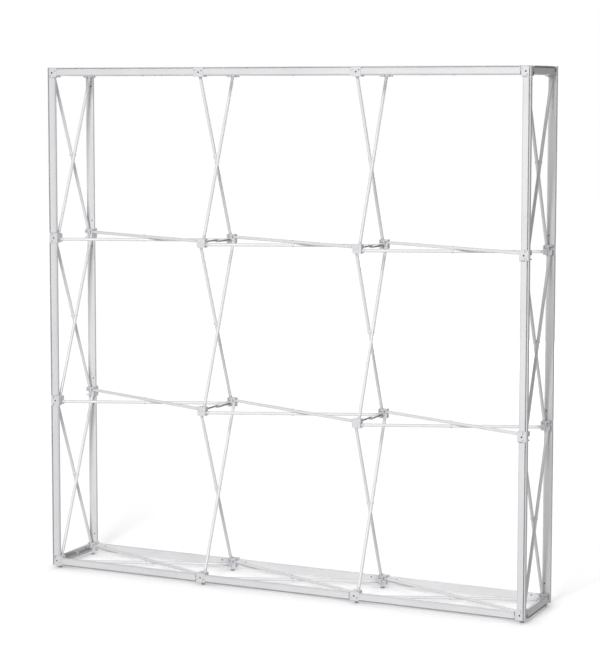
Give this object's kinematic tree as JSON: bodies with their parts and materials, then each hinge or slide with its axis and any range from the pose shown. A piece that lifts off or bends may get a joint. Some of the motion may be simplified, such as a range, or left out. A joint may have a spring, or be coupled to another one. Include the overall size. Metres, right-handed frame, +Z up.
{
  "type": "pop up display backwall",
  "caption": "Pop up display frame: crossed tubes on square hubs, edged by hinged channel bars with a groove for a fabric cover, and held open by hooked locking arms.",
  "frame": {"origin": "on the floor, at the centre of the frame's width and depth", "axes": "+X to the right as seen from the front, -Y towards the front, +Z up"},
  "size_m": [2.2502, 0.347, 2.2636],
  "materials": {
    "hub_plastic": "light grey moulded plastic, fine satin",
    "block_plastic": "near-white moulded plastic, satin",
    "screw_steel": "blackened steel screws",
    "pin_steel": "plain drawn steel",
    "tube_aluminium": "clear anodised, satin",
    "fitting_plastic": "light grey moulded plastic",
    "rivet_steel": "plain steel rivets",
    "saddle_plastic": "light grey moulded plastic",
    "bracket_plastic": "light grey moulded plastic",
    "foot_plastic": "light grey moulded plastic",
    "pad_rubber": "dark rubber",
    "bar_aluminium": "clear anodised extrusion, satin",
    "end_bar_aluminium": "clear anodised extrusion, satin",
    "arm_plastic": "dark grey moulded plastic"
  },
  "bodies": {
    "lattice": {"front_hubs": "hub_plastic", "back_hubs": "hub_plastic", "corner_blocks": "block_plastic", "edge_blocks": "block_plastic", "block_screws": "screw_steel", "pivot_pins": "pin_steel", "lower_cross_tubes": "tube_aluminium", "upper_cross_tubes": "tube_aluminium", "right_upright_tubes": "tube_aluminium", "left_upright_tubes": "tube_aluminium", "tube_end_fittings": "fitting_plastic", "scissor_rivets": "rivet_steel", "scissor_saddles": "saddle_plastic", "arm_brackets": "bracket_plastic", "foot_stems": "foot_plastic", "foot_pads": "pad_rubber"},
    "top_front_bar_1": {"top_front_bar_1": "bar_aluminium"},
    "top_front_bar_2": {"top_front_bar_2": "bar_aluminium"},
    "top_front_bar_3": {"top_front_bar_3": "bar_aluminium"},
    "bottom_front_bar_1": {"bottom_front_bar_1": "bar_aluminium"},
    "bottom_front_bar_2": {"bottom_front_bar_2": "bar_aluminium"},
    "bottom_front_bar_3": {"bottom_front_bar_3": "bar_aluminium"},
    "left_front_bar_1": {"left_front_bar_1": "bar_aluminium"},
    "left_front_bar_2": {"left_front_bar_2": "bar_aluminium"},
    "left_front_bar_3": {"left_front_bar_3": "bar_aluminium"},
    "right_front_bar_1": {"right_front_bar_1": "bar_aluminium"},
    "right_front_bar_2": {"right_front_bar_2": "bar_aluminium"},
    "right_front_bar_3": {"right_front_bar_3": "bar_aluminium"},
    "top_back_bar_1": {"top_back_bar_1": "bar_aluminium"},
    "top_back_bar_2": {"top_back_bar_2": "bar_aluminium"},
    "top_back_bar_3": {"top_back_bar_3": "bar_aluminium"},
    "bottom_back_bar_1": {"bottom_back_bar_1": "bar_aluminium"},
    "bottom_back_bar_2": {"bottom_back_bar_2": "bar_aluminium"},
    "bottom_back_bar_3": {"bottom_back_bar_3": "bar_aluminium"},
    "left_back_bar_1": {"left_back_bar_1": "bar_aluminium"},
    "left_back_bar_2": {"left_back_bar_2": "bar_aluminium"},
    "left_back_bar_3": {"left_back_bar_3": "bar_aluminium"},
    "right_back_bar_1": {"right_back_bar_1": "bar_aluminium"},
    "right_back_bar_2": {"right_back_bar_2": "bar_aluminium"},
    "right_back_bar_3": {"right_back_bar_3": "bar_aluminium"},
    "top_left_end_bar": {"top_left_end_bar": "end_bar_aluminium"},
    "top_right_end_bar": {"top_right_end_bar": "end_bar_aluminium"},
    "bottom_left_end_bar": {"bottom_left_end_bar": "end_bar_aluminium"},
    "bottom_right_end_bar": {"bottom_right_end_bar": "end_bar_aluminium"},
    "front_lock_arm_1": {"front_lock_arm_1": "arm_plastic"},
    "front_lock_arm_2": {"front_lock_arm_2": "arm_plastic"},
    "front_lock_arm_3": {"front_lock_arm_3": "arm_plastic"},
    "front_lock_arm_4": {"front_lock_arm_4": "arm_plastic"},
    "front_lock_arm_5": {"front_lock_arm_5": "arm_plastic"},
    "front_lock_arm_6": {"front_lock_arm_6": "arm_plastic"},
    "front_lock_arm_7": {"front_lock_arm_7": "arm_plastic"},
    "front_lock_arm_8": {"front_lock_arm_8": "arm_plastic"},
    "back_lock_arm_1": {"back_lock_arm_1": "arm_plastic"},
    "back_lock_arm_2": {"back_lock_arm_2": "arm_plastic"},
    "back_lock_arm_3": {"back_lock_arm_3": "arm_plastic"},
    "back_lock_arm_4": {"back_lock_arm_4": "arm_plastic"},
    "back_lock_arm_5": {"back_lock_arm_5": "arm_plastic"},
    "back_lock_arm_6": {"back_lock_arm_6": "arm_plastic"},
    "back_lock_arm_7": {"back_lock_arm_7": "arm_plastic"},
    "back_lock_arm_8": {"back_lock_arm_8": "arm_plastic"}
  },
  "joints": [
    {"name": "top_front_bar_1_hinge", "type": "hinge", "parent": "lattice", "child": "top_front_bar_1", "pos_m": [-1.0881, -0.1645, 2.241], "axis": [0, 0, -1], "range_deg": [0, 90]},
    {"name": "top_front_bar_2_hinge", "type": "hinge", "parent": "lattice", "child": "top_front_bar_2", "pos_m": [-0.3531, -0.1645, 2.241], "axis": [0, 0, -1], "range_deg": [0, 90]},
    {"name": "top_front_bar_3_hinge", "type": "hinge", "parent": "lattice", "child": "top_front_bar_3", "pos_m": [0.3819, -0.1645, 2.241], "axis": [0, 0, -1], "range_deg": [0, 90]},
    {"name": "bottom_front_bar_1_hinge", "type": "hinge", "parent": "lattice", "child": "bottom_front_bar_1", "pos_m": [-0.3819, -0.1645, 0.036], "axis": [0, 0, 1], "range_deg": [0, 90]},
    {"name": "bottom_front_bar_2_hinge", "type": "hinge", "parent": "lattice", "child": "bottom_front_bar_2", "pos_m": [0.3531, -0.1645, 0.036], "axis": [0, 0, 1], "range_deg": [0, 90]},
    {"name": "bottom_front_bar_3_hinge", "type": "hinge", "parent": "lattice", "child": "bottom_front_bar_3", "pos_m": [1.0881, -0.1645, 0.036], "axis": [0, 0, 1], "range_deg": [0, 90]},
    {"name": "left_front_bar_1_hinge", "type": "hinge", "parent": "lattice", "child": "left_front_bar_1", "pos_m": [-1.1025, -0.1645, 0.0504], "axis": [1, 0, 0], "range_deg": [0, 90]},
    {"name": "left_front_bar_2_hinge", "type": "hinge", "parent": "lattice", "child": "left_front_bar_2", "pos_m": [-1.1025, -0.1645, 0.7854], "axis": [1, 0, 0], "range_deg": [0, 90]},
    {"name": "left_front_bar_3_hinge", "type": "hinge", "parent": "lattice", "child": "left_front_bar_3", "pos_m": [-1.1025, -0.1645, 1.5204], "axis": [1, 0, 0], "range_deg": [0, 90]},
    {"name": "right_front_bar_1_hinge", "type": "hinge", "parent": "lattice", "child": "right_front_bar_1", "pos_m": [1.1025, -0.1645, 0.7566], "axis": [-1, 0, 0], "range_deg": [0, 90]},
    {"name": "right_front_bar_2_hinge", "type": "hinge", "parent": "lattice", "child": "right_front_bar_2", "pos_m": [1.1025, -0.1645, 1.4916], "axis": [-1, 0, 0], "range_deg": [0, 90]},
    {"name": "right_front_bar_3_hinge", "type": "hinge", "parent": "lattice", "child": "right_front_bar_3", "pos_m": [1.1025, -0.1645, 2.2266], "axis": [-1, 0, 0], "range_deg": [0, 90]},
    {"name": "top_back_bar_1_hinge", "type": "hinge", "parent": "lattice", "child": "top_back_bar_1", "pos_m": [-0.3819, 0.1645, 2.241], "axis": [0, 0, -1], "range_deg": [0, 90]},
    {"name": "top_back_bar_2_hinge", "type": "hinge", "parent": "lattice", "child": "top_back_bar_2", "pos_m": [0.3531, 0.1645, 2.241], "axis": [0, 0, -1], "range_deg": [0, 90]},
    {"name": "top_back_bar_3_hinge", "type": "hinge", "parent": "lattice", "child": "top_back_bar_3", "pos_m": [1.0881, 0.1645, 2.241], "axis": [0, 0, -1], "range_deg": [0, 90]},
    {"name": "bottom_back_bar_1_hinge", "type": "hinge", "parent": "lattice", "child": "bottom_back_bar_1", "pos_m": [-1.0881, 0.1645, 0.036], "axis": [0, 0, 1], "range_deg": [0, 90]},
    {"name": "bottom_back_bar_2_hinge", "type": "hinge", "parent": "lattice", "child": "bottom_back_bar_2", "pos_m": [-0.3531, 0.1645, 0.036], "axis": [0, 0, 1], "range_deg": [0, 90]},
    {"name": "bottom_back_bar_3_hinge", "type": "hinge", "parent": "lattice", "child": "bottom_back_bar_3", "pos_m": [0.3819, 0.1645, 0.036], "axis": [0, 0, 1], "range_deg": [0, 90]},
    {"name": "left_back_bar_1_hinge", "type": "hinge", "parent": "lattice", "child": "left_back_bar_1", "pos_m": [-1.1025, 0.1645, 0.7566], "axis": [1, 0, 0], "range_deg": [0, 90]},
    {"name": "left_back_bar_2_hinge", "type": "hinge", "parent": "lattice", "child": "left_back_bar_2", "pos_m": [-1.1025, 0.1645, 1.4916], "axis": [1, 0, 0], "range_deg": [0, 90]},
    {"name": "left_back_bar_3_hinge", "type": "hinge", "parent": "lattice", "child": "left_back_bar_3", "pos_m": [-1.1025, 0.1645, 2.2266], "axis": [1, 0, 0], "range_deg": [0, 90]},
    {"name": "right_back_bar_1_hinge", "type": "hinge", "parent": "lattice", "child": "right_back_bar_1", "pos_m": [1.1025, 0.1645, 0.0504], "axis": [-1, 0, 0], "range_deg": [0, 90]},
    {"name": "right_back_bar_2_hinge", "type": "hinge", "parent": "lattice", "child": "right_back_bar_2", "pos_m": [1.1025, 0.1645, 0.7854], "axis": [-1, 0, 0], "range_deg": [0, 90]},
    {"name": "right_back_bar_3_hinge", "type": "hinge", "parent": "lattice", "child": "right_back_bar_3", "pos_m": [1.1025, 0.1645, 1.5204], "axis": [-1, 0, 0], "range_deg": [0, 90]},
    {"name": "top_left_end_bar_hinge", "type": "hinge", "parent": "lattice", "child": "top_left_end_bar", "pos_m": [-1.115, -0.1425, 2.24825], "axis": [0, 0, 1], "range_deg": [0, 90]},
    {"name": "top_right_end_bar_hinge", "type": "hinge", "parent": "lattice", "child": "top_right_end_bar", "pos_m": [1.115, 0.1425, 2.24825], "axis": [0, 0, 1], "range_deg": [0, 90]},
    {"name": "bottom_left_end_bar_hinge", "type": "hinge", "parent": "lattice", "child": "bottom_left_end_bar", "pos_m": [-1.115, 0.1425, 0.02875], "axis": [0, 0, -1], "range_deg": [0, 90]},
    {"name": "bottom_right_end_bar_hinge", "type": "hinge", "parent": "lattice", "child": "bottom_right_end_bar", "pos_m": [1.115, -0.1425, 0.02875], "axis": [0, 0, -1], "range_deg": [0, 90]},
    {"name": "front_lock_arm_1_hinge", "type": "hinge", "parent": "lattice", "child": "front_lock_arm_1", "pos_m": [-1.1025, -0.1205, 2.241], "axis": [0, 0, -1], "range_deg": [0, 90]},
    {"name": "front_lock_arm_2_hinge", "type": "hinge", "parent": "lattice", "child": "front_lock_arm_2", "pos_m": [1.1025, -0.1205, 2.241], "axis": [0, 0, 1], "range_deg": [0, 90]},
    {"name": "front_lock_arm_3_hinge", "type": "hinge", "parent": "lattice", "child": "front_lock_arm_3", "pos_m": [-0.3675, -0.1205, 1.506], "axis": [0, 0, -1], "range_deg": [0, 90]},
    {"name": "front_lock_arm_4_hinge", "type": "hinge", "parent": "lattice", "child": "front_lock_arm_4", "pos_m": [0.3675, -0.1205, 1.506], "axis": [0, 0, -1], "range_deg": [0, 90]},
    {"name": "front_lock_arm_5_hinge", "type": "hinge", "parent": "lattice", "child": "front_lock_arm_5", "pos_m": [-0.3675, -0.1205, 0.771], "axis": [0, 0, -1], "range_deg": [0, 90]},
    {"name": "front_lock_arm_6_hinge", "type": "hinge", "parent": "lattice", "child": "front_lock_arm_6", "pos_m": [0.3675, -0.1205, 0.771], "axis": [0, 0, -1], "range_deg": [0, 90]},
    {"name": "front_lock_arm_7_hinge", "type": "hinge", "parent": "lattice", "child": "front_lock_arm_7", "pos_m": [-1.1025, -0.1205, 0.036], "axis": [0, 0, -1], "range_deg": [0, 90]},
    {"name": "front_lock_arm_8_hinge", "type": "hinge", "parent": "lattice", "child": "front_lock_arm_8", "pos_m": [1.1025, -0.1205, 0.036], "axis": [0, 0, 1], "range_deg": [0, 90]},
    {"name": "back_lock_arm_1_hinge", "type": "hinge", "parent": "lattice", "child": "back_lock_arm_1", "pos_m": [-1.1025, 0.1205, 2.241], "axis": [0, 0, 1], "range_deg": [0, 90]},
    {"name": "back_lock_arm_2_hinge", "type": "hinge", "parent": "lattice", "child": "back_lock_arm_2", "pos_m": [1.1025, 0.1205, 2.241], "axis": [0, 0, -1], "range_deg": [0, 90]},
    {"name": "back_lock_arm_3_hinge", "type": "hinge", "parent": "lattice", "child": "back_lock_arm_3", "pos_m": [-0.3675, 0.1205, 1.506], "axis": [0, 0, 1], "range_deg": [0, 90]},
    {"name": "back_lock_arm_4_hinge", "type": "hinge", "parent": "lattice", "child": "back_lock_arm_4", "pos_m": [0.3675, 0.1205, 1.506], "axis": [0, 0, 1], "range_deg": [0, 90]},
    {"name": "back_lock_arm_5_hinge", "type": "hinge", "parent": "lattice", "child": "back_lock_arm_5", "pos_m": [-0.3675, 0.1205, 0.771], "axis": [0, 0, 1], "range_deg": [0, 90]},
    {"name": "back_lock_arm_6_hinge", "type": "hinge", "parent": "lattice", "child": "back_lock_arm_6", "pos_m": [0.3675, 0.1205, 0.771], "axis": [0, 0, 1], "range_deg": [0, 90]},
    {"name": "back_lock_arm_7_hinge", "type": "hinge", "parent": "lattice", "child": "back_lock_arm_7", "pos_m": [-1.1025, 0.1205, 0.036], "axis": [0, 0, 1], "range_deg": [0, 90]},
    {"name": "back_lock_arm_8_hinge", "type": "hinge", "parent": "lattice", "child": "back_lock_arm_8", "pos_m": [1.1025, 0.1205, 0.036], "axis": [0, 0, -1], "range_deg": [0, 90]}
  ]
}
